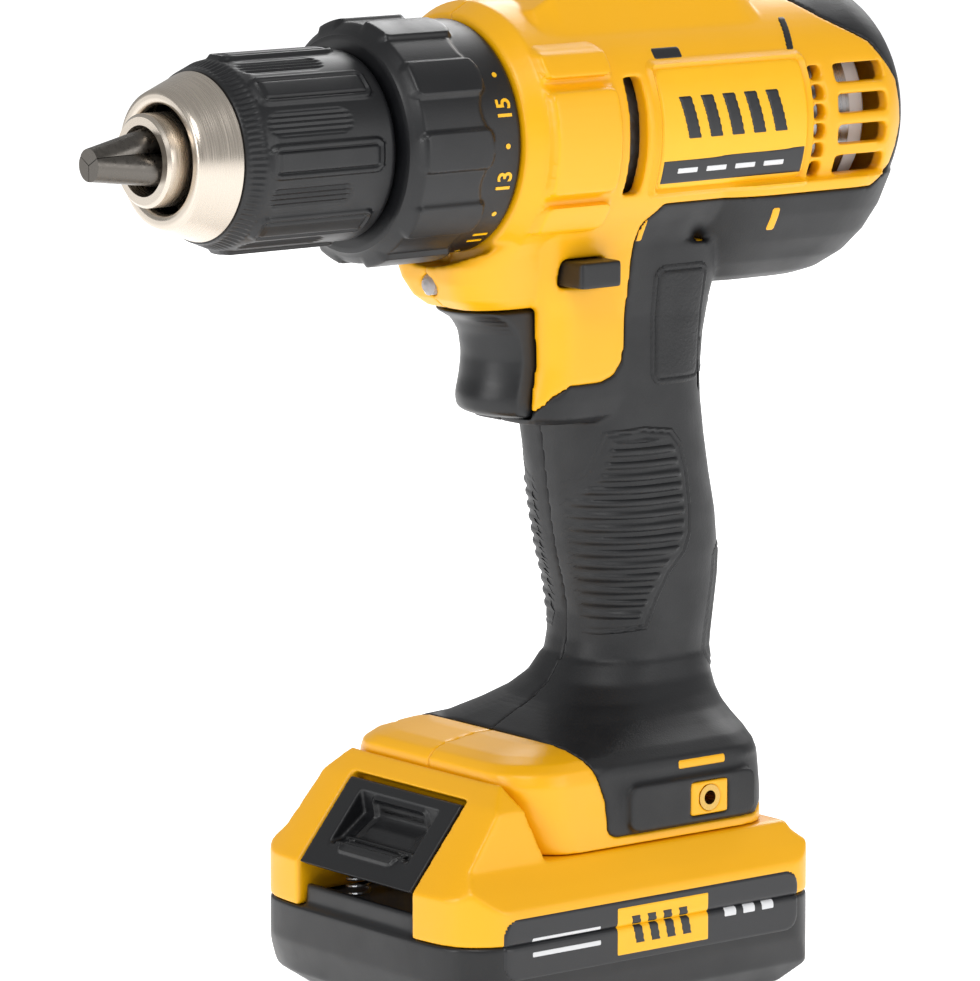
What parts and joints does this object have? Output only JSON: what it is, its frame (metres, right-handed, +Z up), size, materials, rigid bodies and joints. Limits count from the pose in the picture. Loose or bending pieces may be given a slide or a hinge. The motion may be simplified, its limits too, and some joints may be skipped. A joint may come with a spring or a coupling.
{
  "type": "cordless drill driver",
  "caption": "Pistol-grip cordless drill with a keyless three-jaw chuck, torque collar, two-speed selector, trigger and a slide-on battery pack.",
  "frame": {"origin": "centre of the battery pack's flat base, at the height of the surface that the drill stands on", "axes": "+X along the chuck towards the bit, +Y the tool's left side, +Z up"},
  "size_m": [0.216, 0.083, 0.2309],
  "materials": {
    "yellow_shell": "moulded hard yellow plastic, fine satin texture",
    "black_grip": "moulded soft black rubber, matte with textured pads",
    "black_plastic": "moulded black plastic, satin",
    "nameplate": "printed plate, yellow with a black band",
    "battery_label": "printed plate, black with a yellow block",
    "nickel": "turned, satin nickel plated",
    "dark_steel": "hardened dark steel",
    "steel": "machined steel",
    "brass": "turned brass",
    "cast_metal": "die-cast",
    "white_plastic": "moulded white plastic",
    "grey_plastic": "moulded grey plastic",
    "magnet": "sintered ferrite",
    "copper": "copper segments",
    "lens": "clear lens",
    "cell_wrap": "shrink-wrapped steel can",
    "board": "circuit board"
  },
  "bodies": {
    "tool": {"left_housing": "yellow_shell", "right_housing": "yellow_shell", "left_grip": "black_grip", "right_grip": "black_grip", "nameplates": "nameplate", "housing_screws": "steel", "hook_inserts": "brass", "gear_case": "cast_metal", "front_bearing": "steel", "motor_plate": "steel", "output_ring_gear": "steel", "first_ring_gear": "grey_plastic", "motor_can": "steel", "motor_magnets": "magnet", "motor_end_cap": "white_plastic", "motor_bearings": "steel", "motor_brushes": "magnet", "switch_module": "grey_plastic", "trigger_spring": "steel", "lamp_lens": "lens", "terminal_block": "grey_plastic", "clutch_plate": "steel", "clutch_spring": "steel"},
    "output": {"spindle": "steel", "output_carrier": "steel", "chuck_body": "nickel", "chuck_screw": "steel"},
    "sleeve": {"chuck_sleeve": "black_plastic", "nose_cone": "nickel", "jaw_nut": "steel"},
    "jaw_1": {"chuck_jaw_1": "dark_steel"},
    "jaw_2": {"chuck_jaw_2": "dark_steel"},
    "jaw_3": {"chuck_jaw_3": "dark_steel"},
    "collar": {"clutch_collar": "black_plastic"},
    "nut": {"clutch_nut": "black_plastic"},
    "output_planet_1": {"output_planet_1": "steel"},
    "output_planet_2": {"output_planet_2": "steel"},
    "output_planet_3": {"output_planet_3": "steel"},
    "first_stage": {"first_carrier": "steel"},
    "first_planet_1": {"first_planet_1": "steel"},
    "first_planet_2": {"first_planet_2": "steel"},
    "first_planet_3": {"first_planet_3": "steel"},
    "rotor": {"motor_shaft": "steel", "drive_pinion": "steel", "rotor_core": "dark_steel", "commutator": "copper", "fan": "grey_plastic"},
    "trigger": {"trigger": "black_plastic"},
    "direction": {"direction_bar": "black_plastic"},
    "selector": {"speed_selector": "black_plastic", "shift_fork": "steel"},
    "battery": {"battery_lower_case": "black_plastic", "battery_upper_case": "yellow_shell", "battery_cells": "cell_wrap", "cell_holder": "grey_plastic", "battery_board": "board", "battery_contacts": "brass", "battery_labels": "battery_label", "latch_springs": "steel"},
    "latch": {"battery_latch": "black_plastic"}
  },
  "joints": [
    {"name": "chuck_spin", "type": "hinge", "parent": "tool", "child": "output", "pos_m": [0, 0, 0.1985], "axis": [1, 0, 0], "continuous": true},
    {"name": "sleeve_turn", "type": "hinge", "parent": "output", "child": "sleeve", "pos_m": [0.075, 0, 0.1985], "axis": [1, 0, 0], "range_deg": [0, 4800]},
    {"name": "jaw_1_slide", "type": "slide", "parent": "output", "child": "jaw_1", "axis": [-0.9744, 0, 0.225], "range_m": [0, 0.0281]},
    {"name": "jaw_2_slide", "type": "slide", "parent": "output", "child": "jaw_2", "axis": [-0.9744, -0.1948, -0.1125], "range_m": [0, 0.0281]},
    {"name": "jaw_3_slide", "type": "slide", "parent": "output", "child": "jaw_3", "axis": [-0.9744, 0.1948, -0.1125], "range_m": [0, 0.0281]},
    {"name": "clutch_turn", "type": "hinge", "parent": "tool", "child": "collar", "pos_m": [0.038, 0, 0.1985], "axis": [1, 0, 0], "range_deg": [0, 270]},
    {"name": "clutch_nut_slide", "type": "slide", "parent": "tool", "child": "nut", "axis": [1, 0, 0], "range_m": [0, 0.0031], "deforming": ["clutch_spring"]},
    {"name": "first_stage_spin", "type": "hinge", "parent": "tool", "child": "first_stage", "pos_m": [0, 0, 0.1985], "axis": [1, 0, 0], "continuous": true},
    {"name": "motor_spin", "type": "hinge", "parent": "tool", "child": "rotor", "pos_m": [-0.05, 0, 0.1985], "axis": [1, 0, 0], "continuous": true},
    {"name": "output_planet_1_spin", "type": "hinge", "parent": "output", "child": "output_planet_1", "pos_m": [0.007, 0.012, 0.1985], "axis": [1, 0, 0], "continuous": true},
    {"name": "first_planet_1_spin", "type": "hinge", "parent": "first_stage", "child": "first_planet_1", "pos_m": [-0.008, 0.012, 0.1985], "axis": [1, 0, 0], "continuous": true},
    {"name": "output_planet_2_spin", "type": "hinge", "parent": "output", "child": "output_planet_2", "pos_m": [0.007, -0.006, 0.20889], "axis": [1, 0, 0], "continuous": true},
    {"name": "first_planet_2_spin", "type": "hinge", "parent": "first_stage", "child": "first_planet_2", "pos_m": [-0.008, -0.006, 0.20889], "axis": [1, 0, 0], "continuous": true},
    {"name": "output_planet_3_spin", "type": "hinge", "parent": "output", "child": "output_planet_3", "pos_m": [0.007, -0.006, 0.18811], "axis": [1, 0, 0], "continuous": true},
    {"name": "first_planet_3_spin", "type": "hinge", "parent": "first_stage", "child": "first_planet_3", "pos_m": [-0.008, -0.006, 0.18811], "axis": [1, 0, 0], "continuous": true},
    {"name": "trigger_pull", "type": "slide", "parent": "tool", "child": "trigger", "axis": [-1, 0, 0], "range_m": [0, 0.0065], "stiffness_N_per_m": 900, "springref_m": -0.003, "deforming": ["trigger_spring"]},
    {"name": "direction_slide", "type": "slide", "parent": "tool", "child": "direction", "axis": [0, 1, 0], "range_m": [-0.006, 0]},
    {"name": "speed_slide", "type": "slide", "parent": "tool", "child": "selector", "axis": [1, 0, 0], "range_m": [0, 0.0075]},
    {"name": "battery_slide", "type": "slide", "parent": "tool", "child": "battery", "axis": [1, 0, 0], "range_m": [0, 0.095]},
    {"name": "latch_press", "type": "slide", "parent": "battery", "child": "latch", "axis": [0, 0, -1], "range_m": [0, 0.004], "stiffness_N_per_m": 1200, "springref_m": -0.002, "deforming": ["latch_springs"]}
  ],
  "couplings": [
    {"joint": "jaw_1_slide", "follows": "sleeve_turn", "m_per_rad": 0.00033423},
    {"joint": "jaw_2_slide", "follows": "sleeve_turn", "m_per_rad": 0.00033423},
    {"joint": "jaw_3_slide", "follows": "sleeve_turn", "m_per_rad": 0.00033423},
    {"joint": "clutch_nut_slide", "follows": "clutch_turn", "m_per_rad": 0.00063662},
    {"joint": "first_stage_spin", "follows": "chuck_spin", "ratio": 4},
    {"joint": "motor_spin", "follows": "chuck_spin", "ratio": 16},
    {"joint": "output_planet_1_spin", "follows": "chuck_spin", "ratio": -3},
    {"joint": "first_planet_1_spin", "follows": "chuck_spin", "ratio": -12},
    {"joint": "output_planet_2_spin", "follows": "chuck_spin", "ratio": -3},
    {"joint": "first_planet_2_spin", "follows": "chuck_spin", "ratio": -12},
    {"joint": "output_planet_3_spin", "follows": "chuck_spin", "ratio": -3},
    {"joint": "first_planet_3_spin", "follows": "chuck_spin", "ratio": -12}
  ]
}
